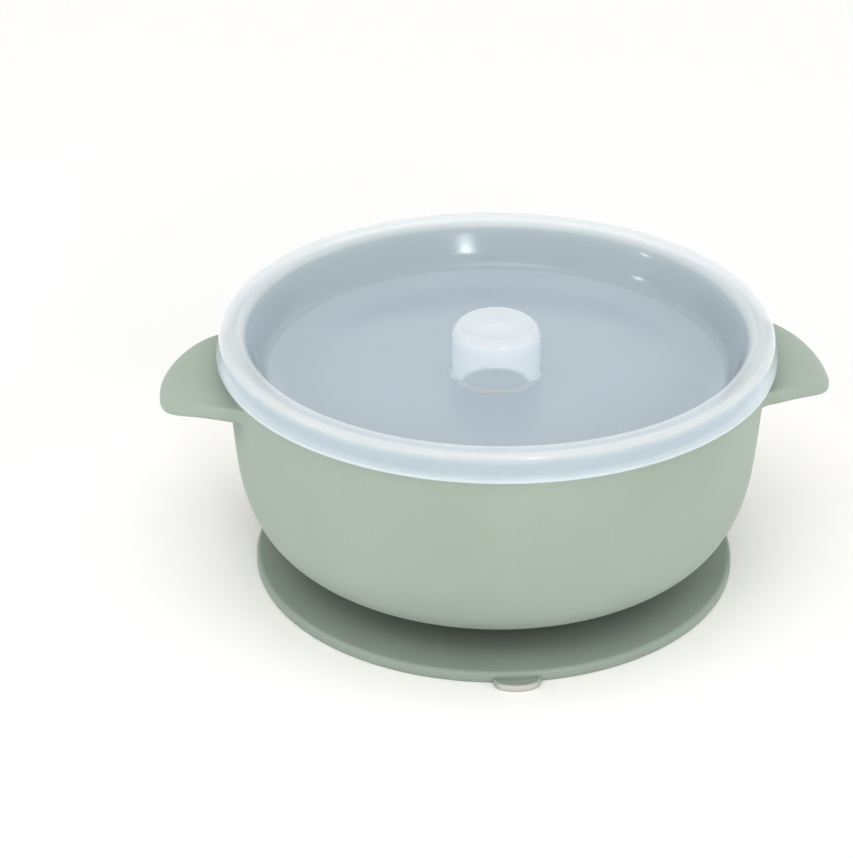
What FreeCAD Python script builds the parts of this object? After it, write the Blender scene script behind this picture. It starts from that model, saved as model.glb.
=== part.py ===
import FreeCAD, Part
import math
import os

from FreeCAD import Vector

# Baby's suction bowl with two ears, a release tab and a press-on lid.
# Millimetres, +Z up.  Origin: centre of the suction disc's resting face.
# The ears point along +X and -X, the release tab along -Y.
# Round pieces are drawn as half sections of (radius, z) and revolved about Z.

# ---------------------------------------------------------------- suction disc
DISC_R = 52.8
DISC_EDGE_H = 2.4           # height of the outer edge
DISC_UPPER_ROUND = 1.0      # rounding of the edge's upper corner
DISC_UPPER_SWEEP = 86       # degrees the upper rounding turns through
DISC_LOWER_ROUND = 0.4
DISC_LIP_R = 49.6           # inner radius of the flat sealing lip
DISC_UNDER_IN = 1.8         # height of the underside at the inner edge

# ---------------------------------------------------------------- bowl's foot
FOOT_R = 27.0
FOOT_BOTTOM = DISC_UNDER_IN     # at rest: the cup can flatten by this much
FOOT_RECESS_R = 21.5            # blind recess that holds the cup's air
FOOT_RECESS_TOP = 4.7
FOOT_RECESS_ROUND = 1.8
SHOULDER_RISE = 0.15            # from the foot wall out to the bowl's curve

# inner edge of the disc, just clear of the foot
DISC_HOLE_R = FOOT_R + 0.3
# (radius, z) of the disc's top, inwards from the upper rounding
DISC_TOP = [(46.0, 2.68), (38.0, 3.02), (31.5, 3.36), (DISC_HOLE_R, 3.6)]
# (radius, z) of the disc's underside, outwards to the lip
DISC_UNDER = [(DISC_HOLE_R, DISC_UNDER_IN), (33.0, 1.62), (40.0, 1.2), (46.0, 0.6),
              (DISC_LIP_R, 0)]

# ------------------------------------------------------------------------ bowl
RIM_TOP = 55.0
RIM_R_OUT = 57.7
RIM_WALL = 2.4
RIM_R_IN = RIM_R_OUT - RIM_WALL
RIM_ROUND = 1.1
RIM_ROUND_Z = RIM_TOP - RIM_ROUND   # where the rim's roundings start
BOWL_FLOOR = 7.8                    # inside, on the axis
# (radius, z) of the outside, from the shoulder up to the rim
BOWL_OUTER = [(30.0, 5.65), (36.0, 6.15), (40.4, 6.98), (45.4, 8.55),
              (49.2, 10.9), (52.2, 14.3), (54.4, 18.9), (55.8, 24.2),
              (56.6, 30.8), (57.25, 39.6), (57.6, 48.0), (RIM_R_OUT, RIM_ROUND_Z)]
# (radius, z) of the inside, from the floor up to the rim
BOWL_INNER = [(27.0, 7.95), (34.5, 8.5), (40.2, 9.7), (44.7, 11.6),
              (48.4, 14.5), (51.2, 18.6), (53.2, 24.4),
              (54.3, 31.5), (54.9, 39.8), (55.2, 48.0), (RIM_R_IN, RIM_ROUND_Z)]
BOWL_OUTER_START = (1.0, 0.07)      # tangents at the curves' ends
BOWL_INNER_START = (1.0, 0.04)
BOWL_END = (0.0, 1.0)
INSIDE_CUT_TOP = RIM_TOP + 3        # top of the volume that trims the ears

# ------------------------------------------- ears: drooping half-moons
EAR_ROOT_X = 57.0           # nominal root
EAR_LEN = 15.35             # how far the ear stands out from the root
EAR_HALF_W = 18.7           # half width at the root
EAR_REACH_POWER = 1.23      # outline exponents
EAR_WIDTH_POWER = 2.56
EAR_SPACING_POWER = 1.15    # spreads the points along the outline
EAR_OUTLINE_STEPS = 15      # from the root to the tip
EAR_TOP_ROOT = 47.8         # top at the root
EAR_DROP = 4.7              # how much lower the tip is
EAR_DROP_POWER = 2.36
EAR_T_ROOT = 3.4            # thickness
EAR_T_TIP = 2.5
EAR_ROUNDS = (0.8, 0.6, 0.4)    # edge radii, in order of preference
EAR_BACK_X = 50.5           # inner end of the plan outline, inside the bowl
EAR_BACK_FLARE = 0.6        # extra half width there
EAR_PRISM_Z = 35
EAR_PRISM_H = 20
EAR_SLAB_BACK_X = 49
EAR_SLAB_STEPS = 8
EAR_SLAB_OVERRUN = 1.5      # past the tip
EAR_SLAB_HALF_W = 25

# ---------------------------------------------------------------- release tab
TAB_T = 1.4                 # thickness
TAB_HALF_W = 4.9
TAB_GAP = 0.15              # between the disc's edge and the round root
TAB_HINGE_Y = -(DISC_R + TAB_GAP + TAB_T / 2)   # living hinge
TAB_LEN = 2.65              # hinge to tip
TAB_TIP_Y = TAB_HINGE_Y - TAB_LEN
TAB_TIP_ROUND = 0.35
TAB_TIP_POWER = 0.85        # shape of the tongue's rounded outline
TAB_OUTLINE_STEPS = 10
TAB_BACK_MARGIN = 0.5       # oversizes of the two crossed solids
TAB_TIP_MARGIN = 0.3
TAB_MARGIN = 1              # along X and Z

# ------------------------------------------------------------------------- lid
LID_R = 60.0                # outside of the band at its lower edge
LID_R_TOP = 59.3            # outside of the band at the crown
LID_BAND_R_IN = RIM_R_OUT + 0.3
LID_BAND_Z = 51.0           # lower edge of the band
LID_BAND_ROUND_IN = 0.5
LID_BAND_ROUND_OUT = 0.6
LID_TOP = 57.3
LID_SEAT = RIM_TOP + 0.1    # underside of the crown, just above the rim
LID_SEAT_R_IN = 55.0
LID_PANEL_R = 41.5          # flat middle of the lid
LID_PANEL_TOP = 44.9
LID_PANEL_T = 1.6
LID_PANEL_UNDER = LID_PANEL_TOP - LID_PANEL_T
# (radius, z) start, middle and end of three arcs, each starting where the last
# ended: from the band's outside over the crown to the recess wall
LID_CROWN = [(LID_R_TOP, LID_TOP - 1.7),
             (LID_R_TOP - 0.5, LID_TOP - 0.55), (LID_R_TOP - 1.7, LID_TOP - 0.05),
             (56.6, LID_TOP), (55.6, LID_TOP - 0.14),
             (53.95, LID_TOP - 1.2), (52.95, LID_TOP - 2.9)]
# (radius, z) of the top, from the foot of the recess wall in to the panel
LID_FOOT = [(50.45, 47.95), (49.7, 47.2), (47.6, 46.05), (45.0, 45.3),
            (LID_PANEL_R, LID_PANEL_TOP)]
# (radius, z) of the underside, from the panel out to the recess wall
LID_FOOT_UNDER = [(LID_PANEL_R, LID_PANEL_UNDER), (45.0, 43.7), (47.6, 44.45),
                  (49.9, 45.6), (51.35, 46.9)]

# ------------------------------------ knob of the lid, hollow and open below
KNOB_R = 9.5
KNOB_TOP = LID_TOP
KNOB_SHOULDER = 3.4         # rounding of the top edge
KNOB_FOOT_ROUND = 1.0       # hollow rounding into the panel
# (radius, z) of the dimple in the top, inwards to the axis
KNOB_DIMPLE = [(4.6, KNOB_TOP), (3.2, KNOB_TOP - 0.3), (1.6, KNOB_TOP - 0.68),
               (0, KNOB_TOP - 0.8)]
CAVITY_R = 7.05
CAVITY_TOP = 55.0
CAVITY_ROUND = 2.0
CAVITY_MOUTH_ROUND = 0.4


# --------------------------------------------------------------------- helpers
def point(radius, z):
    return Vector(radius, 0, z)


def line(start, end):
    return Part.makeLine(point(*start), point(*end))


def arc(start, middle, end):
    return Part.Arc(point(*start), point(*middle), point(*end)).toShape()


def on_circle(centre, radius, degrees):
    angle = math.radians(degrees)
    return (centre[0] + radius * math.cos(angle), centre[1] + radius * math.sin(angle))


def corner(centre, radius, start, end):
    """Arc in the section plane between two angles in degrees."""
    return arc(*[on_circle(centre, radius, degrees)
                 for degrees in (start, 0.5 * (start + end), end)])


def curve_through(vectors, **tangents):
    curve = Part.BSplineCurve()
    curve.interpolate(Points=vectors, **tangents)
    return curve.toShape()


def spline(points, start=None, end=None):
    """Curve through section points, with end tangents if both are given."""
    tangents = {}
    if start and end:
        tangents = {"InitialTangent": point(*start), "FinalTangent": point(*end)}
    return curve_through([point(*p) for p in points], **tangents)


def sorted_face(edges):
    return Part.Face(Part.Wire(Part.__sortEdges__(edges)))


def revolve(edges):
    return sorted_face(edges).revolve(Vector(0, 0, 0), Vector(0, 0, 1), 360)


def one_solid(shape, name):
    """Merge split faces and return the shape's single, valid solid."""
    solids = shape.removeSplitter().Solids
    if len(solids) != 1:
        raise ValueError("%s: %d solids" % (name, len(solids)))
    solid = solids[0]
    if solid.Volume < 0:
        solid.reverse()
    if not solid.isValid():
        raise ValueError("%s: not valid" % name)
    return solid


# ------------------------------------------------------------------------ bowl
def make_bowl_body():
    shoulder = (FOOT_R, BOWL_OUTER[0][1] - SHOULDER_RISE)
    round_out_r = RIM_R_OUT - RIM_ROUND
    round_in_r = RIM_R_IN + RIM_ROUND
    recess_round_r = FOOT_RECESS_R - FOOT_RECESS_ROUND
    recess_round_z = FOOT_RECESS_TOP - FOOT_RECESS_ROUND
    return revolve([
        # foot wall, shoulder and outside
        line((FOOT_R, FOOT_BOTTOM), shoulder),
        line(shoulder, BOWL_OUTER[0]),
        spline(BOWL_OUTER, BOWL_OUTER_START, BOWL_END),
        # rounded rim
        corner((round_out_r, RIM_ROUND_Z), RIM_ROUND, 0, 90),
        line((round_out_r, RIM_TOP), (round_in_r, RIM_TOP)),
        corner((round_in_r, RIM_ROUND_Z), RIM_ROUND, 90, 180),
        # inside, floor and axis
        spline(BOWL_INNER, BOWL_INNER_START, BOWL_END),
        line((0, BOWL_FLOOR), BOWL_INNER[0]),
        line((0, BOWL_FLOOR), (0, FOOT_RECESS_TOP)),
        # recess under the foot
        line((0, FOOT_RECESS_TOP), (recess_round_r, FOOT_RECESS_TOP)),
        corner((recess_round_r, recess_round_z), FOOT_RECESS_ROUND, 90, 0),
        line((FOOT_RECESS_R, recess_round_z), (FOOT_RECESS_R, FOOT_BOTTOM)),
        line((FOOT_RECESS_R, FOOT_BOTTOM), (FOOT_R, FOOT_BOTTOM)),
    ])


def make_bowl_inside():
    """Volume inside the bowl, which trims the ears' roots."""
    return revolve([
        line((0, BOWL_FLOOR), BOWL_INNER[0]),
        spline(BOWL_INNER, BOWL_INNER_START, BOWL_END),
        line(BOWL_INNER[-1], (RIM_R_IN, INSIDE_CUT_TOP)),
        line((RIM_R_IN, INSIDE_CUT_TOP), (0, INSIDE_CUT_TOP)),
        line((0, INSIDE_CUT_TOP), (0, BOWL_FLOOR)),
    ])


def make_bowl():
    shell = make_bowl_body()
    inside = make_bowl_inside()
    ear = make_ear()
    for one_ear in (ear, ear.mirror(Vector(0, 0, 0), Vector(1, 0, 0))):
        shell = shell.fuse(one_ear.cut(inside))
    return one_solid(shell, "bowl_shell")


# ------------------------------------------------------------------------ ears
def ear_top(x):
    return EAR_TOP_ROOT - EAR_DROP * ((x - EAR_ROOT_X) / EAR_LEN) ** EAR_DROP_POWER


def ear_bottom(x):
    reach = (x - EAR_ROOT_X) / EAR_LEN
    return ear_top(x) - (EAR_T_ROOT + (EAR_T_TIP - EAR_T_ROOT) * reach)


def make_ear_prism():
    """Plan outline of the +X ear, extruded upwards."""
    half = []
    for i in range(EAR_OUTLINE_STEPS + 1):
        angle = math.pi / 2 * i / EAR_OUTLINE_STEPS
        reach = math.sin(angle) ** EAR_SPACING_POWER
        y = EAR_HALF_W * (1 - reach ** EAR_REACH_POWER) ** (1 / EAR_WIDTH_POWER)
        half.append((EAR_ROOT_X + EAR_LEN * reach, y))
    outline = [Vector(x, y, EAR_PRISM_Z) for x, y in half]
    outline += [Vector(x, -y, EAR_PRISM_Z) for x, y in reversed(half[:-1])]
    first, last = outline[0], outline[-1]
    back_first = Vector(EAR_BACK_X, first.y + EAR_BACK_FLARE, EAR_PRISM_Z)
    back_last = Vector(EAR_BACK_X, last.y - EAR_BACK_FLARE, EAR_PRISM_Z)
    wire = Part.Wire([
        curve_through(outline),
        Part.makeLine(last, back_last),
        Part.makeLine(back_last, back_first),
        Part.makeLine(back_first, first),
    ])
    return Part.Face(wire).extrude(Vector(0, 0, EAR_PRISM_H))


def make_ear_slab():
    """Drooping side section, extruded along Y."""
    stations = [EAR_ROOT_X + EAR_LEN * i / EAR_SLAB_STEPS for i in range(EAR_SLAB_STEPS + 1)]
    stations.append(EAR_ROOT_X + EAR_LEN + EAR_SLAB_OVERRUN)
    top = [Vector(x, -EAR_SLAB_HALF_W, ear_top(x)) for x in stations]
    bottom = [Vector(x, -EAR_SLAB_HALF_W, ear_bottom(x)) for x in stations]
    back_top = Vector(EAR_SLAB_BACK_X, -EAR_SLAB_HALF_W, EAR_TOP_ROOT)
    back_bottom = Vector(EAR_SLAB_BACK_X, -EAR_SLAB_HALF_W, EAR_TOP_ROOT - EAR_T_ROOT)
    section = sorted_face([
        Part.makeLine(back_top, top[0]),
        curve_through(top),
        Part.makeLine(top[-1], bottom[-1]),
        curve_through(bottom),
        Part.makeLine(bottom[0], back_bottom),
        Part.makeLine(back_bottom, back_top),
    ])
    return section.extrude(Vector(0, 2 * EAR_SLAB_HALF_W, 0))


def make_ear():
    ear = make_ear_prism().common(make_ear_slab()).Solids[0]
    # the long free edges, which run round the tip and span the ear
    free_edges = [edge for edge in ear.Edges
                  if edge.BoundBox.YLength > 2 * EAR_HALF_W - 3
                  and edge.BoundBox.XMax > EAR_ROOT_X + EAR_LEN - 2]
    for radius in EAR_ROUNDS:
        # guards against a radius the fillet can't make: the next one is tried
        try:
            rounded = ear.makeFillet(radius, free_edges)
        except Exception:
            continue
        if rounded.isValid() and rounded.Volume > 0.8 * ear.Volume:
            return rounded.Solids[0]
    return ear


# ---------------------------------------------------------------- suction disc
def make_disc():
    lower_r = DISC_R - DISC_LOWER_ROUND
    upper_z = DISC_EDGE_H - DISC_UPPER_ROUND
    upper_centre = (DISC_R - DISC_UPPER_ROUND, upper_z)
    top_start = on_circle(upper_centre, DISC_UPPER_ROUND, DISC_UPPER_SWEEP)
    return one_solid(revolve([
        # flat sealing lip and outer edge
        line((DISC_LIP_R, 0), (lower_r, 0)),
        corner((lower_r, DISC_LOWER_ROUND), DISC_LOWER_ROUND, -90, 0),
        line((DISC_R, DISC_LOWER_ROUND), (DISC_R, upper_z)),
        corner(upper_centre, DISC_UPPER_ROUND, 0, DISC_UPPER_SWEEP),
        # top, inner edge and hollow underside
        spline([top_start] + DISC_TOP),
        line(DISC_TOP[-1], DISC_UNDER[0]),
        spline(DISC_UNDER),
    ]), "suction_disc")


# ---------------------------------------------------------------- release tab
def make_tongue():
    """Plan outline: straight root and rounded tip, extruded upwards."""
    z = -TAB_MARGIN
    outline = []
    for i in range(TAB_OUTLINE_STEPS + 1):
        angle = math.pi * i / TAB_OUTLINE_STEPS
        y = TAB_HINGE_Y - TAB_LEN * abs(math.sin(angle)) ** TAB_TIP_POWER
        outline.append(Vector(TAB_HALF_W * math.cos(angle), y, z))
    back_y = TAB_HINGE_Y + TAB_T / 2 + TAB_BACK_MARGIN
    back_left = Vector(-TAB_HALF_W, back_y, z)
    back_right = Vector(TAB_HALF_W, back_y, z)
    wire = Part.Wire([
        curve_through(outline),
        Part.makeLine(outline[-1], back_left),
        Part.makeLine(back_left, back_right),
        Part.makeLine(back_right, outline[0]),
    ])
    return Part.Face(wire).extrude(Vector(0, 0, TAB_T + 2 * TAB_MARGIN))


def make_tab_bar():
    """Side section: round root at the hinge line and flat tongue, extruded along X."""
    def side_point(y, z):
        return Vector(-TAB_HALF_W - TAB_MARGIN, y, z)

    radius = TAB_T / 2
    end_y = TAB_TIP_Y - TAB_TIP_MARGIN
    root_low = side_point(TAB_HINGE_Y, 0)
    root_high = side_point(TAB_HINGE_Y, TAB_T)
    end_high = side_point(end_y, TAB_T)
    end_low = side_point(end_y, 0)
    wire = Part.Wire([
        Part.Arc(root_low, side_point(TAB_HINGE_Y + radius, radius), root_high).toShape(),
        Part.makeLine(root_high, end_high),
        Part.makeLine(end_high, end_low),
        Part.makeLine(end_low, root_low),
    ])
    return Part.Face(wire).extrude(Vector(2 * (TAB_HALF_W + TAB_MARGIN), 0, 0))


def make_tab():
    tab = make_tongue().common(make_tab_bar()).Solids[0]
    # the flat curved edges above and below the tip
    tip_edges = [edge for edge in tab.Edges
                 if edge.BoundBox.XLength > 2 * TAB_HALF_W - 1.0
                 and edge.BoundBox.YMin < TAB_TIP_Y + 0.4
                 and edge.BoundBox.ZLength < 0.05]
    # guards against a failed fillet: the tip's edges then stay sharp
    try:
        rounded = tab.makeFillet(TAB_TIP_ROUND, tip_edges)
        if rounded.isValid():
            tab = rounded
    except Exception:
        pass
    return one_solid(tab, "release_tab")


# ------------------------------------------------------------------------- lid
def band_edges():
    inner_r = LID_BAND_R_IN + LID_BAND_ROUND_IN
    inner_z = LID_BAND_Z + LID_BAND_ROUND_IN
    outer_r = LID_R - LID_BAND_ROUND_OUT
    outer_z = LID_BAND_Z + LID_BAND_ROUND_OUT
    return [
        line((LID_BAND_R_IN, LID_SEAT), (LID_BAND_R_IN, inner_z)),
        corner((inner_r, inner_z), LID_BAND_ROUND_IN, 180, 270),
        line((inner_r, LID_BAND_Z), (outer_r, LID_BAND_Z)),
        corner((outer_r, outer_z), LID_BAND_ROUND_OUT, -90, 0),
        line((LID_R, outer_z), LID_CROWN[0]),
    ]


def knob_edges():
    foot_r = KNOB_R + KNOB_FOOT_ROUND
    foot_z = LID_PANEL_TOP + KNOB_FOOT_ROUND
    shoulder_r = KNOB_R - KNOB_SHOULDER
    shoulder_z = KNOB_TOP - KNOB_SHOULDER
    return [
        line(LID_FOOT[-1], (foot_r, LID_PANEL_TOP)),
        corner((foot_r, foot_z), KNOB_FOOT_ROUND, 270, 180),
        line((KNOB_R, foot_z), (KNOB_R, shoulder_z)),
        corner((shoulder_r, shoulder_z), KNOB_SHOULDER, 0, 90),
        line((shoulder_r, KNOB_TOP), KNOB_DIMPLE[0]),
        spline(KNOB_DIMPLE, (-1.0, 0.0), (-1.0, 0.0)),
        line(KNOB_DIMPLE[-1], (0, CAVITY_TOP)),
    ]


def cavity_edges():
    round_r = CAVITY_R - CAVITY_ROUND
    round_z = CAVITY_TOP - CAVITY_ROUND
    mouth_r = CAVITY_R + CAVITY_MOUTH_ROUND
    mouth_z = LID_PANEL_UNDER + CAVITY_MOUTH_ROUND
    return [
        line((0, CAVITY_TOP), (round_r, CAVITY_TOP)),
        corner((round_r, round_z), CAVITY_ROUND, 90, 0),
        line((CAVITY_R, round_z), (CAVITY_R, mouth_z)),
        corner((mouth_r, mouth_z), CAVITY_MOUTH_ROUND, 180, 270),
        line((mouth_r, LID_PANEL_UNDER), LID_FOOT_UNDER[0]),
    ]


def make_lid():
    edges = band_edges()
    edges += [arc(*LID_CROWN[i:i + 3]) for i in (0, 2, 4)]
    # inside wall of the recess, easing down to the flat panel
    edges.append(line(LID_CROWN[-1], LID_FOOT[0]))
    edges.append(spline(LID_FOOT, (-0.45, -0.9), (-1.0, 0.0)))
    edges += knob_edges() + cavity_edges()
    # underside, out to the seat over the rim
    seat_in = (LID_SEAT_R_IN, LID_SEAT)
    edges.append(spline(LID_FOOT_UNDER, (1.0, 0.0), (0.45, 0.9)))
    edges.append(line(LID_FOOT_UNDER[-1], seat_in))
    edges.append(line(seat_in, (LID_BAND_R_IN, LID_SEAT)))
    return one_solid(revolve(edges), "lid")


def main():
    os.makedirs("parts", exist_ok=True)
    pieces = {
        "bowl_shell": make_bowl(),
        "suction_disc": make_disc(),
        "release_tab": make_tab(),
        "lid": make_lid(),
    }
    for name, solid in pieces.items():
        solid.exportStep("parts/%s.step" % name)


main()
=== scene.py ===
"""A round silicone bowl with two side ears, on a suction disc with a pull tab, under a milky lid.

The bowl's axis is Z and the disc stands on the floor at z = 0. The ears point to +X and -X,
the tab points to the front (-Y). Shape dimensions are in millimetres; the floor, lights and
camera are in metres. Sections are lists of (radius, height) points.
"""
import math
from functools import partial

import bmesh
import bpy
import numpy as np
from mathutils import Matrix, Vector


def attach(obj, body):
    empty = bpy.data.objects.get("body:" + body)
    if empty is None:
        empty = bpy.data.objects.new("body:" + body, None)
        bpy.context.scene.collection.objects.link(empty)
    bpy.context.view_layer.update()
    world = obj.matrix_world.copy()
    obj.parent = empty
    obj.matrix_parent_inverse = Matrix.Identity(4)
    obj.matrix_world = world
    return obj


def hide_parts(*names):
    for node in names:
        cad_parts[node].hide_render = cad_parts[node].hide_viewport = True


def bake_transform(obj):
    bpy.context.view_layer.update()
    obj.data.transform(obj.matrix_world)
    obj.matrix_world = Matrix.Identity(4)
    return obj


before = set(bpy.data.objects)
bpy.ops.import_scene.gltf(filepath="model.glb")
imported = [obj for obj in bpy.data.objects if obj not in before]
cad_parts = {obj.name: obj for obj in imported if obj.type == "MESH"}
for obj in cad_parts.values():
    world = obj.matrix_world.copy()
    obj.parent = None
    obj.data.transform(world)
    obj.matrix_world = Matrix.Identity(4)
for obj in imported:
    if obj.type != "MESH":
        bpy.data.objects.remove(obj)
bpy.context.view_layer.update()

MM = 0.001
scene = bpy.context.scene


# ------------------------------------------------------------------ shape helpers

def clamp01(value):
    return min(1.0, max(0.0, value))


def cos_sin(degrees):
    return math.cos(math.radians(degrees)), math.sin(math.radians(degrees))


def sum_by_index(size, index, values):
    """Adds up the rows of values that share an index."""
    sums = np.zeros((size, 3))
    np.add.at(sums, index, values)
    return sums


def catmull_clark(points, polygons):
    """One smoothing subdivision of a closed mesh, every face becoming quads."""
    point_count, face_count = len(points), len(polygons)
    sizes = np.array([len(polygon) for polygon in polygons])
    corners = np.concatenate(polygons)
    starts = np.concatenate([[0], np.cumsum(sizes)[:-1]])
    ends = starts + sizes - 1
    face_of = np.repeat(np.arange(face_count), sizes)
    after, before = np.arange(len(corners)) + 1, np.arange(len(corners)) - 1
    after[ends] = starts
    before[starts] = ends

    face_points = sum_by_index(face_count, face_of, points[corners]) / sizes[:, None]

    following = corners[after]
    keys = np.minimum(corners, following) * point_count + np.maximum(corners, following)
    edges, edge_of = np.unique(keys, return_inverse=True)
    edge_start, edge_end = edges // point_count, edges % point_count
    middles = (points[edge_start] + points[edge_end]) / 2
    edge_faces = np.bincount(edge_of, minlength=len(edges))[:, None]
    face_sums = sum_by_index(len(edges), edge_of, face_points[face_of])
    edge_points = (2 * middles + face_sums) / (2 + edge_faces)

    valence = np.bincount(corners, minlength=point_count)[:, None]
    around = sum_by_index(point_count, corners, face_points[face_of])
    middle_sums = sum_by_index(point_count, np.concatenate([edge_start, edge_end]),
                               np.concatenate([middles, middles]))
    moved = (around / valence + 2 * middle_sums / valence + (valence - 3) * points) / valence

    edge_index = point_count + edge_of
    face_index = point_count + len(edges) + face_of
    quads = np.stack([corners, edge_index, face_index, edge_index[before]], axis=1)
    return np.concatenate([moved, edge_points, face_points]), quads


def smooth_mesh(name, points, faces, sharp_angle, subdivide=False):
    """A closed piece from millimetre points, shaded smooth but for edges over sharp_angle."""
    mesh = bpy.data.meshes.new(name)
    mesh.from_pydata([(float(x) * MM, float(y) * MM, float(z) * MM) for x, y, z in points],
                     [], faces)
    mesh.validate()
    bm = bmesh.new()
    bm.from_mesh(mesh)
    bmesh.ops.remove_doubles(bm, verts=bm.verts, dist=1e-7)
    bmesh.ops.recalc_face_normals(bm, faces=bm.faces)
    bm.to_mesh(mesh)
    bm.free()
    if subdivide:
        flat = np.zeros(len(mesh.vertices) * 3)
        mesh.vertices.foreach_get("co", flat)
        polygons = [tuple(polygon.vertices) for polygon in mesh.polygons]
        bpy.data.meshes.remove(mesh)
        fine_points, quads = catmull_clark(flat.reshape(-1, 3), polygons)
        mesh = bpy.data.meshes.new(name)
        mesh.from_pydata(fine_points.tolist(), [], quads.tolist())
    mesh.polygons.foreach_set("use_smooth", [True] * len(mesh.polygons))
    mesh.set_sharp_from_angle(angle=math.radians(sharp_angle))
    mesh.update()
    piece = bpy.data.objects.new(name, mesh)
    scene.collection.objects.link(piece)
    return piece


def set_attribute(mesh, name, values):
    """One number per vertex, for the materials to read."""
    attribute = mesh.attributes.new(name, "FLOAT", "POINT")
    attribute.data.foreach_set("value", values)


def arc(centre_r, centre_z, radius, start, end, steps):
    """Points of a section arc; angles in degrees."""
    points = []
    for i in range(steps + 1):
        cos, sin = cos_sin(start + (end - start) * i / steps)
        points.append((centre_r + radius * cos, centre_z + radius * sin))
    return points


def curve(points, steps):
    """Smooth curve through section points (centripetal Catmull-Rom)."""
    inner = [np.array(point, float) for point in points]
    padded = [2 * inner[0] - inner[1]] + inner + [2 * inner[-1] - inner[-2]]
    result = []
    for i in range(len(inner) - 1):
        p0, p1, p2, p3 = padded[i:i + 4]
        t0 = 0.0
        t1 = t0 + np.linalg.norm(p1 - p0) ** 0.5
        t2 = t1 + np.linalg.norm(p2 - p1) ** 0.5
        t3 = t2 + np.linalg.norm(p3 - p2) ** 0.5
        for k in range(steps):
            t = t1 + (t2 - t1) * k / steps

            def between(start, end, first, second):
                return ((end - t) / (end - start) * first
                        + (t - start) / (end - start) * second)

            middle = between(t1, t2, p1, p2)
            left = between(t0, t2, between(t0, t1, p0, p1), middle)
            right = between(t1, t3, middle, between(t2, t3, p2, p3))
            result.append(tuple(between(t1, t2, left, right)))
    result.append(tuple(inner[-1]))
    return result


def dedupe(points, tolerance=1e-4):
    """Drops points that repeat the one before."""
    kept = [points[0]]
    for point in points[1:]:
        if math.dist(point, kept[-1]) > tolerance:
            kept.append(point)
    return kept


def lathe(name, section, sharp_angle, closed=False, segments=240):
    """Revolves a section about Z. An open section starts and ends on the axis."""
    points, faces, rings = [], [], []
    for r, z in dedupe(section):
        count = 1 if r < 1e-5 else segments
        rings.append(list(range(len(points), len(points) + count)))
        if count == 1:
            points.append((0, 0, z))
            continue
        for j in range(segments):
            angle = 2 * math.pi * j / segments
            points.append((r * math.cos(angle), r * math.sin(angle), z))
    pairs = list(zip(rings, rings[1:]))
    if closed:
        pairs.append((rings[-1], rings[0]))
    for a, b in pairs:
        for j in range(segments):
            k = (j + 1) % segments
            if len(a) == 1:
                faces.append((a[0], b[k], b[j]))
            elif len(b) == 1:
                faces.append((a[j], a[k], b[0]))
            else:
                faces.append((a[j], a[k], b[k], b[j]))
    return smooth_mesh(name, points, faces, sharp_angle)


# ------------------------------------------------------------------ node helpers

def empty_tree(owner):
    """The cleared node tree of a material or world."""
    owner.use_nodes = True
    owner.node_tree.nodes.clear()
    return owner.node_tree


def set_input(tree, socket, value):
    """Links a socket to another, or sets its value."""
    if isinstance(value, bpy.types.NodeSocket):
        tree.links.new(value, socket)
    else:
        socket.default_value = value


def add_node(tree, kind, inputs=None, **settings):
    new = tree.nodes.new("ShaderNode" + kind)
    for key, value in settings.items():
        setattr(new, key, value)
    for key, value in (inputs or {}).items():
        set_input(tree, new.inputs[key], value)
    return new


def add_math(tree, operation, *values):
    return add_node(tree, "Math", dict(enumerate(values)), operation=operation).outputs[0]


def noise(tree, coords, scale, detail=0.0, roughness=0.5):
    return add_node(tree, "TexNoise", {
        "Vector": coords, "Scale": scale, "Detail": detail, "Roughness": roughness,
    }).outputs["Fac"]


def map_range(tree, value, source=(0.0, 1.0), target=(0.0, 1.0), interpolation="LINEAR"):
    return add_node(tree, "MapRange", {
        "Value": value, "From Min": source[0], "From Max": source[1],
        "To Min": target[0], "To Max": target[1],
    }, interpolation_type=interpolation).outputs["Result"]


def mix_colour(tree, factor, first, second):
    mix = add_node(tree, "Mix", {0: factor}, data_type="RGBA")
    sockets = [socket for socket in mix.inputs if socket.type == "RGBA"]
    for socket, value in zip(sockets, (first, second)):
        set_input(tree, socket, value)
    return [socket for socket in mix.outputs if socket.type == "RGBA"][0]


def mix_shader(tree, factor, first, second):
    return add_node(tree, "MixShader", {0: factor, 1: first, 2: second}).outputs[0]


def bump(tree, height, strength, distance, **inputs):
    return add_node(tree, "Bump", {
        "Height": height, "Strength": strength, "Distance": distance, **inputs,
    }).outputs["Normal"]


def mesh_attribute(tree, name):
    return add_node(tree, "Attribute", attribute_type="GEOMETRY",
                    attribute_name=name).outputs["Fac"]


# ------------------------------------------------------------------ materials

SAGE = (0.350, 0.399, 0.352)
DUST_COLOUR = (0.78, 0.82, 0.76, 1)
# painted highlight: paler colour for the lit front rim of the tab
TAB_RIM_HIGHLIGHT = (0.50, 0.485, 0.445, 1)

MILK_BLUE = (0.675, 0.755, 0.842, 1)        # light scattered once
MILK_WHITE = (0.80, 0.812, 0.822, 1)        # light scattered more often
MILK_RIM = (0.815, 0.855, 0.89, 1)          # slanted walls of the knob
MILK_HOLLOW = (0.96, 0.98, 1.0, 1)
MILK_THROUGH = (0.978, 0.968, 0.950, 1)     # what the milk scatters is missing here
EXTINCTION = 0.25                           # light lost to scatter, per mm of path
INDEX_SQUARED = 2.1                         # refractive index squared, for the path's slant


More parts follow.
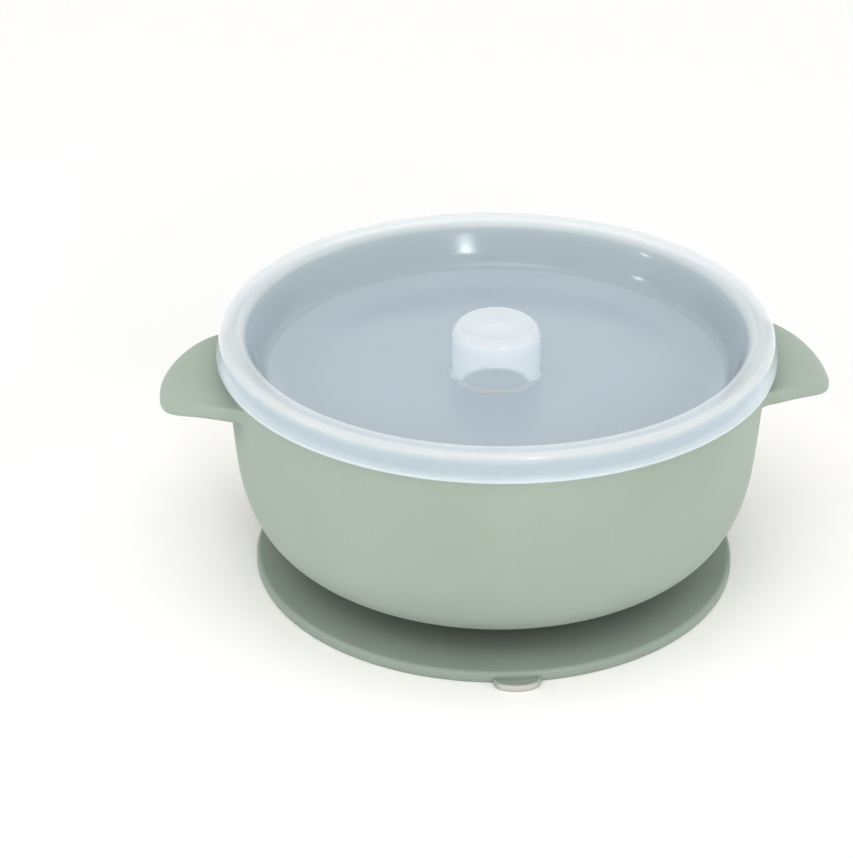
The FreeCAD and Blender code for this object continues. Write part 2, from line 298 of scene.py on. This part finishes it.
def silicone(name, base, dust, rough=0.56):
    """Matte silicone: satin grain, faint clouds, sparse dust and a painted highlight patch (the
    lit front rim of the tab).
    """
    material = bpy.data.materials.new(name)
    tree = empty_tree(material)
    coords = add_node(tree, "TexCoord").outputs["Object"]
    cloud = noise(tree, coords, scale=34.0, detail=2.0, roughness=0.55)

    ramp = add_node(tree, "ValToRGB", {"Fac": cloud})
    stops = ((0.30, (0.965, 0.965, 0.965)),     # position, factors on the base colour
             (0.72, (1.03, 1.03, 1.035)))
    for element, (position, factors) in zip(ramp.color_ramp.elements, stops):
        element.position = position
        element.color = (*(value * factor for value, factor in zip(base, factors)), 1)

    specks = map_range(tree, noise(tree, coords, scale=1900.0),
                       source=(0.70, 0.80), target=(0.0, 0.16 * dust))
    colour = mix_colour(tree, specks, ramp.outputs["Color"], DUST_COLOUR)
    # painted highlight: only the tab carries this attribute, a paler patch where its front rim
    # catches the light; elsewhere it reads zero
    colour = mix_colour(tree, mesh_attribute(tree, "painted_tab_highlight"), colour, TAB_RIM_HIGHLIGHT)

    grain = bump(tree, noise(tree, coords, scale=2600.0), strength=0.10, distance=0.00005)
    skin = bump(tree, noise(tree, coords, scale=110.0), strength=0.10, distance=0.0004,
                Normal=grain)
    shader = add_node(tree, "BsdfPrincipled", {
        "Base Color": colour,
        "Roughness": map_range(tree, cloud, target=(rough - 0.05, rough + 0.06)),
        "Specular IOR Level": 0.38,
        "IOR": 1.41,
        "Sheen Weight": 0.12,
        "Sheen Roughness": 0.5,
        "Sheen Tint": (0.92, 1.0, 0.93, 1),
        "Normal": skin,
    })
    add_node(tree, "OutputMaterial", {"Surface": shader.outputs[0]})
    return material


def milky(name):
    """Translucent milky moulding, whiter where it is thick or seen at a slant.

    It reads the vertex attributes set by lid_optics: wall_mm is the wall's thickness, milk
    how far the blue cast is lost, tube marks the knob's outer wall and hollow its inside.
    On the crown and the band's lower lip, wall_mm and milk are raised past the real wall
    to paint highlights.
    The tube whitens where the cosine of the view's slant falls below arch.
    """
    material = bpy.data.materials.new(name)
    tree = empty_tree(material)
    calc = partial(add_math, tree)

    def lerp(factor, start, end):
        return calc("MULTIPLY_ADD", calc("SUBTRACT", end, start), factor, start)

    wall, tube, hollow, milk, arch = (mesh_attribute(tree, key) for key in LID_ATTRIBUTES)
    coords = add_node(tree, "TexCoord").outputs["Object"]
    cloud = noise(tree, coords, scale=30.0, detail=2.0)
    skin = bump(tree, noise(tree, coords, scale=90.0), strength=0.08, distance=0.0005)

    # length of the view's path through the wall
    facing = add_node(tree, "LayerWeight", {"Blend": 0.5}).outputs["Facing"]
    cosine = calc("SUBTRACT", 1.0, facing)
    sine_squared = calc("SUBTRACT", 1.0, calc("MULTIPLY", cosine, cosine))
    refracted = calc("MULTIPLY", sine_squared, 1 / INDEX_SQUARED)
    slab = calc("DIVIDE", 1.0, calc("SQRT", calc("SUBTRACT", 1.0, refracted)))
    slanted = map_range(tree, calc("SUBTRACT", cosine, arch), source=(0.06, -0.06),
                        interpolation="SMOOTHSTEP")
    rim = calc("MULTIPLY", slanted, tube)
    chord = calc("MULTIPLY_ADD", rim, 2.4, slab)
    uneven = calc("MULTIPLY_ADD", cloud, 0.14, 0.93)
    path = calc("MULTIPLY", calc("MULTIPLY", wall, uneven), chord)

    # share of the light that goes straight through
    back = add_node(tree, "NewGeometry").outputs["Backfacing"]
    shadow = add_node(tree, "LightPath").outputs["Is Shadow Ray"]
    clear = calc("EXPONENT", calc("MULTIPLY", path, -EXTINCTION))
    clear = lerp(hollow, clear, lerp(back, 0.05, 0.96))
    clear = lerp(shadow, clear, 0.86)

    blue_lost = calc("MULTIPLY", milk, calc("MULTIPLY_ADD", tube, -0.60, 1.0))
    tint = mix_colour(tree, calc("MAXIMUM", blue_lost, rim), MILK_BLUE, MILK_WHITE)
    tint = mix_colour(tree, rim, tint, MILK_RIM)
    tint = mix_colour(tree, hollow, tint, MILK_HOLLOW)

    diffuse = add_node(tree, "BsdfDiffuse", {"Color": tint, "Normal": skin})
    translucent = add_node(tree, "BsdfTranslucent", {"Color": tint})
    transparent = add_node(tree, "BsdfTransparent", {"Color": MILK_THROUGH})
    glossy = add_node(tree, "BsdfGlossy", {
        "Color": (1, 1, 1, 1),
        "Roughness": map_range(tree, cloud, target=(0.10, 0.18)),
        "Normal": skin,
    })
    scatter = mix_shader(tree, 0.30, diffuse.outputs[0], translucent.outputs[0])
    body = mix_shader(tree, clear, scatter, transparent.outputs[0])
    # reflections on outer faces only
    fresnel = add_node(tree, "Fresnel", {"IOR": 1.45, "Normal": skin}).outputs["Fac"]
    reflection = calc("MULTIPLY", fresnel, calc("SUBTRACT", 1.0, back))
    surface = mix_shader(tree, reflection, body, glossy.outputs[0])
    add_node(tree, "OutputMaterial", {"Surface": surface})
    return material


# ------------------------------------------------------------------ bowl

RIM_TOP, RIM_OUT, RIM_IN, RIM_ROUND = 55.0, 57.7, 55.3, 1.1
UNDERSIDE_Z, BOWL_FLOOR_Z = 4.7, 7.8        # at the axis, outside and inside

# outside of the bowl, from the base up to the ears
BOWL_OUTSIDE = [
    (30.0, 5.65), (36.0, 6.15), (40.4, 6.98), (45.4, 8.55), (49.2, 10.9), (52.2, 14.3),
    (54.4, 18.9), (55.8, 24.2), (56.6, 30.8), (57.25, 39.6), (57.5, 44.0),
]
# inside of the bowl, from the rim down to the floor
BOWL_INSIDE = [
    (RIM_IN, RIM_TOP - RIM_ROUND), (55.2, 48.0), (54.9, 39.8), (54.3, 31.5), (53.2, 24.4),
    (51.2, 18.6), (48.4, 14.5), (44.7, 11.6), (40.2, 9.7), (34.5, 8.5), (27.0, 7.95),
    (18.0, 7.85), (9.0, BOWL_FLOOR_Z),
]
WALL_R = BOWL_OUTSIDE[-1][0]                # wall radius where the ears leave it

EAR_X, EAR_LENGTH, EAR_HALF_WIDTH = 57.0, 15.35, 18.7
EAR_TAPER, EAR_FULLNESS = 1.23, 2.56        # exponents of the plan outline
FLARE, FLARE_FADE = 1.5, 0.7                # widening at the root, and how fast it fades
EAR_TOP, EAR_DROP, EAR_DROP_POWER = 47.8, 4.7, 2.36
EAR_ROOT_THICK, EAR_TIP_THICK = 3.4, 2.5
EAR_BOTTOM = EAR_TOP - EAR_ROOT_THICK
EAR_FILLET, EAR_ROUND = 1.1, 0.95           # radii at the wall and along the free edge
FILLET_ANGLES = (90, 52, 14)
EDGE_ANGLES = (0, 12, 36, 62)

EAR_STEPS = 56                              # meridians across an ear
PLAIN_STEPS = 92                            # meridians across the wall between ears
FACE_ROWS = 9                               # rows out along each face of the ear
EAR_ROWS = 2 * (len(FILLET_ANGLES) + FACE_ROWS + len(EDGE_ANGLES))


def outer_r(z):
    """Outside radius of the plain wall."""
    table = BOWL_OUTSIDE + [(57.6, 48.0), (RIM_OUT, RIM_TOP - RIM_ROUND)]
    radii, heights = zip(*table)
    return float(np.interp(z, heights, radii))


def ear_heights(x):
    """Underside and top of an ear at a distance x from the bowl's middle plane."""
    share = max(0.0, (abs(x) - EAR_X) / EAR_LENGTH)
    top = EAR_TOP - EAR_DROP * share ** EAR_DROP_POWER
    return top - (EAR_ROOT_THICK + (EAR_TIP_THICK - EAR_ROOT_THICK) * share), top


def ear_outline():
    """Plan of the +X ear from the wall at +Y round to -Y: even points, outward normals."""
    root_x = math.sqrt(WALL_R ** 2 - EAR_HALF_WIDTH ** 2)

    def flare(x):
        return FLARE * math.exp(-(x - root_x) / FLARE_FADE)

    half = [(x, EAR_HALF_WIDTH + flare(x)) for x in np.linspace(root_x, EAR_X, 14)[:-1]]
    for i in range(401):
        share = math.sin(math.pi / 2 * i / 400) ** 1.2
        x = EAR_X + EAR_LENGTH * share
        width = EAR_HALF_WIDTH * (1 - share ** EAR_TAPER) ** (1 / EAR_FULLNESS)
        half.append((x, width + flare(x)))
    points = np.array(half + [(x, -y) for x, y in reversed(half[:-1])])
    # both ends lie on the wall
    end_y = points[0][1]
    end_x = math.sqrt(WALL_R ** 2 - end_y ** 2)
    points[0] = (end_x, end_y)
    points[-1] = (end_x, -end_y)

    lengths = np.concatenate([[0], np.cumsum(np.hypot(*np.diff(points, axis=0).T))])
    even = lengths[-1] * np.linspace(0, 1, EAR_STEPS + 1)
    x = np.interp(even, lengths, points[:, 0])
    y = np.interp(even, lengths, points[:, 1])
    dx, dy = np.gradient(x), np.gradient(y)
    step = np.hypot(dx, dy)
    return np.stack([x, y], 1), np.stack([-dy / step, dx / step], 1)


def bowl_meridians():
    """(angle, outline point, outline normal) all round; the last two are None off the ears."""
    outline, normals = ear_outline()
    end = math.atan2(outline[0][1], outline[0][0])
    right = [(end - 2 * end * i / EAR_STEPS, outline[i], normals[i])
             for i in range(EAR_STEPS + 1)]
    mirror = np.array([-1.0, 1.0])
    left = [(math.pi - angle, point * mirror, normal * mirror)
            for angle, point, normal in right]
    plain = [end + (math.pi - 2 * end) * i / PLAIN_STEPS for i in range(1, PLAIN_STEPS)]
    return (right[::-1] + [(angle, None, None) for angle in plain]
            + left + [(math.pi + angle, None, None) for angle in plain])


def bowl_sections():
    """Section from the axis out to below the ears, and from above them back to the axis."""
    lower = [(0.0, UNDERSIDE_Z), (6.0, UNDERSIDE_Z), (12.0, UNDERSIDE_Z), (17.0, UNDERSIDE_Z)]
    # rounded step down to a ring at z = 1.8, then up again at radius 27
    lower += arc(19.7, 2.9, 1.8, 90, 0, 6) + [(21.5, 2.3)]
    lower += arc(21.9, 2.2, 0.4, 180, 270, 3) + [(24.0, 1.8)]
    lower += arc(26.6, 2.2, 0.4, -90, 0, 3) + [(27.0, 3.2), (27.0, 4.2)]
    lower += arc(28.2, 4.35, 1.2, 180, 92, 6)
    lower += curve(BOWL_OUTSIDE, 5)
    start = EAR_BOTTOM - EAR_FILLET
    lower = [point for point in lower if point[1] < start - 0.6]
    lower += [(outer_r(z), z) for z in np.linspace(lower[-1][1] + 0.7, start - 0.45, 3)]

    above_ear = EAR_TOP + EAR_FILLET + 0.45
    rim_z = RIM_TOP - RIM_ROUND
    upper = [(outer_r(z), z) for z in (above_ear, 50.2, 51.6, 52.8, 53.5)]
    upper += arc(RIM_OUT - RIM_ROUND, rim_z, RIM_ROUND, 0, 90, 7)
    upper += [((RIM_OUT + RIM_IN) / 2, RIM_TOP)]
    upper += arc(RIM_IN + RIM_ROUND, rim_z, RIM_ROUND, 90, 180, 7)
    upper += curve(BOWL_INSIDE, 4) + [(4.0, BOWL_FLOOR_Z), (0.0, BOWL_FLOOR_Z)]
    return dedupe(lower), dedupe(upper)


def ear_rows(angle, point, normal):
    """One meridian's points up the ear, or up the plain wall with the same number of rows."""
    direction = np.array([math.cos(angle), math.sin(angle)])
    wall = WALL_R * direction
    reach = 0.0 if point is None else math.dist(point, wall)
    if reach < 0.05:
        heights = np.linspace(EAR_BOTTOM - EAR_FILLET, EAR_TOP + EAR_FILLET, EAR_ROWS)
        return [(*(outer_r(z) * direction), z) for z in heights]

    # radii shrink where the ear is short
    edge_radius = min(EAR_ROUND, 0.42 * reach)
    fillet = min(EAR_FILLET, 0.45 * reach)
    inset = point - normal * edge_radius
    face_length = math.dist(inset, wall)
    outward = (inset - wall) / face_length

    root = []                               # plan points and their distance off the face
    for degrees in FILLET_ANGLES:
        cos, sin = cos_sin(degrees)
        offset = fillet - fillet * cos + (EAR_FILLET - fillet) * sin
        root.append((wall + outward * (fillet - fillet * sin), offset))
    face = []
    for i in range(FACE_ROWS):
        share = (i / (FACE_ROWS - 1)) ** 0.9
        face.append(wall + outward * (fillet + (face_length - fillet) * share))

    rows = [(*plan, EAR_BOTTOM - offset) for plan, offset in root]
    rows += [(*plan, ear_heights(plan[0])[0]) for plan in face]
    bottom, top = ear_heights(point[0])
    rise = min(EAR_ROUND, 0.45 * (top - bottom))
    lower_edge = [-degrees for degrees in reversed(EDGE_ANGLES)]
    for middle, angles in ((bottom + rise, lower_edge), (top - rise, EDGE_ANGLES)):
        for degrees in angles:
            cos, sin = cos_sin(degrees)
            rows.append((*(inset + normal * edge_radius * cos), middle + rise * sin))
    rows += [(*plan, ear_heights(plan[0])[1]) for plan in reversed(face)]
    rows += [(*plan, EAR_TOP + offset) for plan, offset in reversed(root)]
    return rows


def build_bowl():
    lower, upper = bowl_sections()
    columns = []
    for angle, point, normal in bowl_meridians():
        cos, sin = math.cos(angle), math.sin(angle)
        columns.append([(r * cos, r * sin, z) for r, z in lower[1:]]
                       + ear_rows(angle, point, normal)
                       + [(r * cos, r * sin, z) for r, z in upper[:-1]])
    points = [point for column in columns for point in column]
    count, rows = len(columns), len(columns[0])
    faces = []
    for j in range(count):
        this, other = j * rows, (j + 1) % count * rows
        for i in range(rows - 1):
            faces.append((this + i, other + i, other + i + 1, this + i + 1))
    bottom, top = len(points), len(points) + 1
    points += [(0, 0, UNDERSIDE_Z), (0, 0, BOWL_FLOOR_Z)]
    for j in range(count):
        this, other = j * rows, (j + 1) % count * rows
        faces.append((bottom, other, this))
        faces.append((top, this + rows - 1, other + rows - 1))
    return smooth_mesh("bowl", points, faces, sharp_angle=60, subdivide=True)


# ------------------------------------------------------------------ suction disc

DISC_TOP = [
    (51.87, 2.398), (46.0, 2.68), (38.0, 3.02), (31.5, 3.36), (29.2, 3.62), (28.0, 4.1),
    (27.3, 4.75),
]
DISC_UNDERSIDE = [
    (27.3, 1.78), (33.0, 1.62), (40.0, 1.2), (46.0, 0.6), (48.2, 0.26), (49.3, 0.06),
]
DISC_HOLE_R = 27.06


def build_disc():
    """An open ring: round the outer lip, in over the top, down the hole and back out below."""
    section = [(49.6, 0.0), (51.0, 0.0)] + arc(52.3, 0.5, 0.5, -90, 0, 4)
    section += [(52.8, 1.0)] + arc(51.8, 1.4, 1.0, 0, 86, 8)
    section += curve(DISC_TOP, 6)
    section += [(DISC_HOLE_R, 4.78), (DISC_HOLE_R, 3.4), (DISC_HOLE_R, 2.0)]
    section += curve(DISC_UNDERSIDE, 5)
    return lathe("suction_cup", section, sharp_angle=40, closed=True)


# ------------------------------------------------------------------ pull tab

TAB_HALF_WIDTH, TAB_HEIGHT = 4.9, 1.4
TAB_ROOT_Y, TAB_TIP_Y = -50.6, -56.3
TAB_CENTRE_Y = -53.65                       # the outline's normals fan out from here
TAB_SHOULDER_Y = TAB_CENTRE_Y + 0.6         # where the rounded end begins
TAB_STEPS = 28

# share of the way from root to outline, height, inset, depth of the hollow
TAB_ROWS = [(share, 0.0, 0.30, 0.0) for share in (0.0, 0.30, 0.45, 0.60, 0.78, 0.92, 1.0)]
TAB_ROWS += [
    (1.0, 0.12, 0.09, 0.0), (1.0, 0.36, 0.0, 0.0), (1.0, TAB_HEIGHT - 0.5, 0.0, 0.0),
    (1.0, TAB_HEIGHT - 0.16, 0.12, 0.0), (1.0, TAB_HEIGHT, 0.42, 0.0),
]
TAB_ROWS += [(share, TAB_HEIGHT, 0.42, depth) for share, depth in (
    (0.90, 0.10), (0.78, 0.50), (0.64, 0.76), (0.5, 0.82), (0.3, 0.76), (0.0, 0.62))]


def build_tab():
    """A little tongue with a shallow hollow on top; its root runs back into the disc's edge."""
    points, faces = [], []
    for i in range(TAB_STEPS + 1):
        angle = math.pi * i / TAB_STEPS
        edge_x = TAB_HALF_WIDTH * math.cos(angle)
        edge_y = TAB_SHOULDER_Y - (TAB_SHOULDER_Y - TAB_TIP_Y) * math.sin(angle) ** 0.85
        root_x = edge_x * 0.985
        fan_y = (edge_y - TAB_CENTRE_Y) * 1.6
        fan_length = math.hypot(edge_x, fan_y)
        for share, z, inset, depth in TAB_ROWS:
            x = root_x + (edge_x - root_x) * share - edge_x / fan_length * inset
            y = TAB_ROOT_Y + (edge_y - TAB_ROOT_Y) * share - fan_y / fan_length * inset
            z -= depth * math.sin(angle) ** 0.6
            if z == 0.0:                    # the underside lifts a little inside the disc's lip
                z = 0.04 * clamp01((52.95 - math.hypot(x, y)) / 0.3)
            points.append((x, y, z))
    rows = len(TAB_ROWS)
    for i in range(TAB_STEPS):
        this, other = i * rows, (i + 1) * rows
        for k in range(rows - 1):
            faces.append((this + k, other + k, other + k + 1, this + k + 1))
    # back wall at the root, inside the disc's edge
    for i in range(TAB_STEPS):
        this, other = i * rows, (i + 1) * rows
        faces.append((this, this + rows - 1, other + rows - 1, other))
    faces.append(tuple(range(rows)))
    faces.append(tuple(reversed(range(TAB_STEPS * rows, (TAB_STEPS + 1) * rows))))
    piece = smooth_mesh("pull_tab", points, faces, sharp_angle=50)

    # painted highlight: a pale curved patch along the tip, where the front rim catches the light,
    # not on the underside
    painted_tab_highlight = []
    for vertex in piece.data.vertices:
        x, y, z = (value / MM for value in vertex.co)
        patch_start = -TAB_TIP_Y - (0.3 + 0.055 * x * x)
        painted_tab_highlight.append(clamp01((-y - patch_start + 0.25) / 0.3) if z > 0.05 else 0.0)
    set_attribute(piece.data, "painted_tab_highlight", painted_tab_highlight)
    return piece


# ------------------------------------------------------------------ lid

LID_ATTRIBUTES = ("wall_mm", "tube", "hollow", "milk", "arch")
PANEL_TOP, PANEL_BOTTOM = 44.9, 43.3
KNOB_TOP = [(0.0, 56.5), (1.6, 56.6), (3.2, 56.98), (4.6, 57.26), (5.6, 57.3)]
KNOB_SIDE = [
    (9.52, 52.6), (9.53, 51.8), (9.54, 51.2), (9.545, 50.8), (9.55, 50.4), (9.56, 49.8),
    (9.57, 49.0), (9.58, 48.0), (9.6, 47.0),
]
RECESS_FOOT_TOP = [
    (38.5, PANEL_TOP), (41.5, 44.95), (45.0, 45.3), (47.6, 46.02), (49.55, 47.1),
    (50.3, 47.95),
]
CROWN_TOP = [
    (52.72, 53.9), (52.98, 54.5), (53.4, 55.3), (53.95, 56.08), (54.7, 56.72), (55.6, 57.14),
    (56.6, 57.3), (57.6, 57.23), (58.4, 56.98), (58.95, 56.5), (59.22, 55.9), (59.32, 55.2),
    (59.36, 54.6),
]
# inside of the band, then under the crown to the back of the recess wall
LID_UNDERSIDE = [
    (58.05, 52.0), (58.0, 53.2), (58.0, 54.6), (57.7, 55.1), (56.5, 55.12), (55.2, 55.1),
    (54.5, 53.95), (53.2, 51.0), (52.0, 48.35),
]
RECESS_FOOT_BOTTOM = [
    (51.3, 46.85), (49.9, 45.55), (47.6, 44.42), (45.0, 43.7), (41.5, 43.32),
    (38.5, PANEL_BOTTOM),
]
# crown: radius, wall_mm, milk. The whiter rings at the inner edge (53.9 to 54.9) and on the outer
# rounding (58.4 to 59.1) are partly the crown's thickness and partly painted highlight.
CROWN_OPTICS = [
    (53.2, 1.5, 0.1), (53.9, 2.5, 0.7), (54.9, 2.9, 0.85), (55.7, 2.2, 0.65),
    (57.6, 2.2, 0.65), (58.4, 3.1, 0.95), (59.1, 3.1, 0.9), (59.35, 2.0, 0.0),
]


def lid_optics(r, z):
    """The attribute values of the milky material at a point of the lid; absent ones are 0."""
    if r < 7.6 and z < 55.2:                # hollow of the knob
        return dict(wall_mm=2.4, milk=1.0, hollow=clamp01((z - 43.6) / 0.6))
    if r < 11.0 and z > 44.92:              # knob outside
        rise = clamp01((z - 44.95) / 1.6)
        cap = clamp01((z - 55.4) / 1.4)
        # a low arch on the wall stays clearer
        up = (z - PANEL_TOP) / 6.0
        if up >= 1.0:
            arch = 0.95 + 0.5 * min(0.3, up - 1.0)
        else:
            arch = 0.88 * math.cos(math.radians(50.0) * (1.0 - up * up) ** 0.65)
        return dict(wall_mm=1.9 + 3.4 * rise * (1.0 - 0.72 * cap),
                    tube=clamp01((55.6 - z) / 1.2) * rise,
                    milk=rise * (1.0 - 0.45 * cap),
                    arch=arch)
    if r < 49.0:                            # panel
        return dict(wall_mm=2.05)
    if z > 54.95:                           # crown
        radii, walls, milks = zip(*CROWN_OPTICS)
        return dict(wall_mm=float(np.interp(r, radii, walls)),
                    milk=float(np.interp(r, radii, milks)))
    if z < 51.9 and r > 57.5:               # lower lip of the band: painted highlight, read thicker and whiter than the wall to stand in for the bright line of light along its edge
        return dict(wall_mm=3.4, milk=0.6)
    if r < 55.5:                            # wall of the recess, both sides
        return dict(wall_mm=1.7)
    return dict(wall_mm=2.0)                # band


def build_lid():
    # knob, down to its foot on the panel
    section = curve(KNOB_TOP, 5) + arc(6.1, 53.9, 3.4, 88, 0, 12) + KNOB_SIDE
    section += arc(10.7, 46.0, 1.1, 180, 270, 8)
    section += [(r, PANEL_TOP) for r in (14.0, 20.0, 27.0, 34.0)]
    # recess wall, crown and band
    section += curve(RECESS_FOOT_TOP, 5) + [(51.2, 50.2), (52.1, 52.4)]
    section += curve(CROWN_TOP, 4) + [(59.6, 53.2), (59.9, 52.0)]
    section += arc(59.5, 51.5, 0.5, 0, -90, 4) + arc(58.6, 51.4, 0.4, -90, -180, 3)
    # underside, back in to the hollow of the knob
    section += LID_UNDERSIDE + curve(RECESS_FOOT_BOTTOM, 4)
    section += [(r, PANEL_BOTTOM) for r in (34.0, 27.0, 20.0, 13.0, 9.0)]
    section += arc(7.55, 43.8, 0.5, 270, 180, 4) + [(7.05, 46.0), (7.05, 50.0)]
    section += arc(5.05, 53.0, 2.0, 0, 90, 7) + [(2.5, 55.0), (0.0, 55.0)]
    piece = lathe("lid_moulding", section, sharp_angle=50)

    optics = [lid_optics(math.hypot(vertex.co.x, vertex.co.y) / MM, vertex.co.z / MM)
              for vertex in piece.data.vertices]
    for key in LID_ATTRIBUTES:
        set_attribute(piece.data, key, [values.get(key, 0.0) for values in optics])
    return piece


# ------------------------------------------------------------------ pieces and their bodies

bowl_silicone = silicone("sage_silicone_bowl", SAGE, dust=0.2)
# painted shade: the disc's sage is darkened to 0.9 of the bowl's, standing in for the shade under
# the bowl
shaded_disc_silicone = silicone("sage_silicone_disc", tuple(0.90 * value for value in SAGE),
                         dust=0.3, rough=0.60)
tab_silicone = silicone("sage_silicone_tab",
                        (SAGE[0] * 1.03, SAGE[1] * 1.02, SAGE[2] * 1.02),
                        dust=0.3, rough=0.58)
lid_milk = milky("milky_lid_moulding")

bowl = build_bowl()
disc = build_disc()
tab = build_tab()
lid = build_lid()
for piece, material in ((bowl, bowl_silicone), (disc, shaded_disc_silicone), (tab, tab_silicone),
                        (lid, lid_milk)):
    piece.data.materials.append(material)

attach(bowl, "bowl")
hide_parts("bowl_shell")
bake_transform(disc)
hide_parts("suction_disc")
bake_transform(tab)
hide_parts("release_tab")
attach(lid, "lid")
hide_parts("lid")


# ------------------------------------------------------------------ floor (metres from here)

SWEEP_HALF_WIDTH = 4.0
SWEEP_Y, SWEEP_RADIUS = 2.0, 0.8            # where the floor starts to curve up, and how tightly
PAPER = (0.90, 0.90, 0.89, 1)               # as it lights the object
PAPER_NEAR = (0.850, 0.837, 0.828, 1)       # as the camera sees it, by the object
PAPER_FAR = (0.738, 0.734, 0.730, 1)        # and away from it


def studio_paper():
    material = bpy.data.materials.new("studio_paper")
    tree = empty_tree(material)
    coords = add_node(tree, "TexCoord").outputs["Object"]
    flat = add_node(tree, "VectorMath", {0: coords, 1: (1.0, 1.0, 0.0)}, operation="MULTIPLY")
    distance = add_node(tree, "VectorMath", {0: flat.outputs["Vector"]}, operation="LENGTH")
    fall = map_range(tree, distance.outputs["Value"], source=(0.055, 0.14),
                     interpolation="SMOOTHSTEP")
    seen_colour = mix_colour(tree, fall, PAPER_NEAR, PAPER_FAR)
    lighting = add_node(tree, "BsdfDiffuse", {"Color": PAPER}).outputs[0]
    seen = add_node(tree, "BsdfDiffuse", {"Color": seen_colour}).outputs[0]
    camera_ray = add_node(tree, "LightPath").outputs["Is Camera Ray"]
    add_node(tree, "OutputMaterial", {"Surface": mix_shader(tree, camera_ray, lighting, seen)})
    return material


def make_floor():
    """A pale sweep: flat floor that curves up far behind into a wall."""
    profile = [(y, 0.0) for y in (-3.0, -1.5, -0.6, -0.2, 0.0, 0.2, 0.6, 1.2, SWEEP_Y)]
    for angle in np.linspace(0.1, math.pi / 2, 14):
        profile.append((SWEEP_Y + SWEEP_RADIUS * math.sin(angle),
                        SWEEP_RADIUS - SWEEP_RADIUS * math.cos(angle)))
    wall_y = SWEEP_Y + SWEEP_RADIUS
    profile += [(wall_y, 2.2), (wall_y, 4.0)]
    points = [(x, y, z) for y, z in profile for x in (-SWEEP_HALF_WIDTH, SWEEP_HALF_WIDTH)]
    faces = [(2 * i, 2 * i + 1, 2 * i + 3, 2 * i + 2) for i in range(len(profile) - 1)]
    mesh = bpy.data.meshes.new("studio_floor")
    mesh.from_pydata(points, [], faces)
    mesh.polygons.foreach_set("use_smooth", [True] * len(faces))
    floor = bpy.data.objects.new("studio_floor", mesh)
    scene.collection.objects.link(floor)
    mesh.materials.append(studio_paper())


make_floor()


# ------------------------------------------------------------------ lights and world

def area_light(name, place, target, power, size, size_y=None):
    light = bpy.data.lights.new(name, "AREA")
    light.energy = power
    light.shape = "RECTANGLE" if size_y else "SQUARE"
    light.size = size
    if size_y:
        light.size_y = size_y
    lamp = bpy.data.objects.new(name, light)
    scene.collection.objects.link(lamp)
    lamp.location = place
    aim = Vector(target) - Vector(place)
    lamp.rotation_euler = aim.to_track_quat("-Z", "Y").to_euler()


# the world is one big soft tent; these add light from the front and small glints
area_light("front_soft", place=(-0.15, -0.62, 0.98), target=(0, 0, 0.03),
           power=1.6, size=0.75, size_y=0.35)
area_light("glint_front", place=(0.146, -0.840, 0.335), target=(0, 0, 0.05),
           power=0.75, size=0.08)
area_light("glint_left", place=(-0.838, -0.142, 0.335), target=(0, 0, 0.05),
           power=0.20, size=0.04)

TENT_STRENGTH = 1.35
TENT_LEVEL = 0.75                           # brightness at the horizon
TENT_RISE, TENT_RISE_END = 0.9, 0.45        # brightening with height, up to this height
TENT_OVERHEAD = -0.25                       # change with height, all the way up
TENT_DEPTH = -0.14                          # change towards +Y: brighter in front
TENT_SIDE = 0.0                             # change towards +X: even from left to right
SEEN_STRENGTH = 0.99                        # what the camera sees


def make_world():
    world = bpy.data.worlds.new("studio")
    scene.world = world
    tree = empty_tree(world)
    calc = partial(add_math, tree)
    direction = add_node(tree, "TexCoord").outputs["Generated"]
    axes = add_node(tree, "SeparateXYZ", {0: direction}).outputs
    rise = calc("MINIMUM", axes["Z"], TENT_RISE_END)
    level = calc("MULTIPLY_ADD", rise, TENT_RISE, TENT_LEVEL)
    for axis, slope in (("Z", TENT_OVERHEAD), ("Y", TENT_DEPTH), ("X", TENT_SIDE)):
        level = calc("MULTIPLY_ADD", axes[axis], slope, level)
    camera_ray = add_node(tree, "LightPath").outputs["Is Camera Ray"]
    strength = add_node(tree, "Mix", {
        0: camera_ray, 2: calc("MULTIPLY", level, TENT_STRENGTH), 3: SEEN_STRENGTH,
    }, data_type="FLOAT").outputs[0]
    background = add_node(tree, "Background", {
        "Color": (1.0, 1.0, 1.0, 1), "Strength": strength,
    }).outputs[0]
    add_node(tree, "OutputWorld", {"Surface": background})


make_world()

# ------------------------------------------------------------------ render settings

scene.view_settings.view_transform = "Standard"
scene.view_settings.look = "None"
scene.view_settings.exposure = 0.0
scene.view_settings.gamma = 0.75            # deepens the contrast
scene.cycles.max_bounces = 7
scene.cycles.diffuse_bounces = 4
scene.cycles.glossy_bounces = 2
scene.cycles.transmission_bounces = 4
scene.cycles.transparent_max_bounces = 16
scene.cycles.sample_clamp_indirect = 6.0
scene.cycles.use_adaptive_sampling = True
scene.cycles.adaptive_threshold = 0.02

# ------------------------------------------------------------------ camera

CAMERA_X, CAMERA_Y, CAMERA_Z = -0.01495, -0.49793, 0.29936   # before the turn about Z
CAMERA_TURN = math.radians(4.0)             # clockwise from above
CAMERA_DOWN = 28.32                         # degrees below the horizontal


def make_camera():
    data = bpy.data.cameras.new("camera")
    camera = bpy.data.objects.new("camera", data)
    scene.collection.objects.link(camera)
    cos, sin = math.cos(CAMERA_TURN), math.sin(CAMERA_TURN)
    camera.location = (CAMERA_X * cos + CAMERA_Y * sin, -CAMERA_X * sin + CAMERA_Y * cos,
                       CAMERA_Z)
    camera.rotation_euler = (math.radians(90 - CAMERA_DOWN), 0, -CAMERA_TURN)
    data.sensor_fit = "VERTICAL"
    data.sensor_height = 36.0
    data.sensor_width = 35.7902098
    data.lens = 108.7174825
    data.clip_start = 0.01
    data.clip_end = 20
    scene.camera = camera


make_camera()

bpy.context.view_layer.update()
def plain(b):
    return [[float(x) for x in corner] for corner in b]
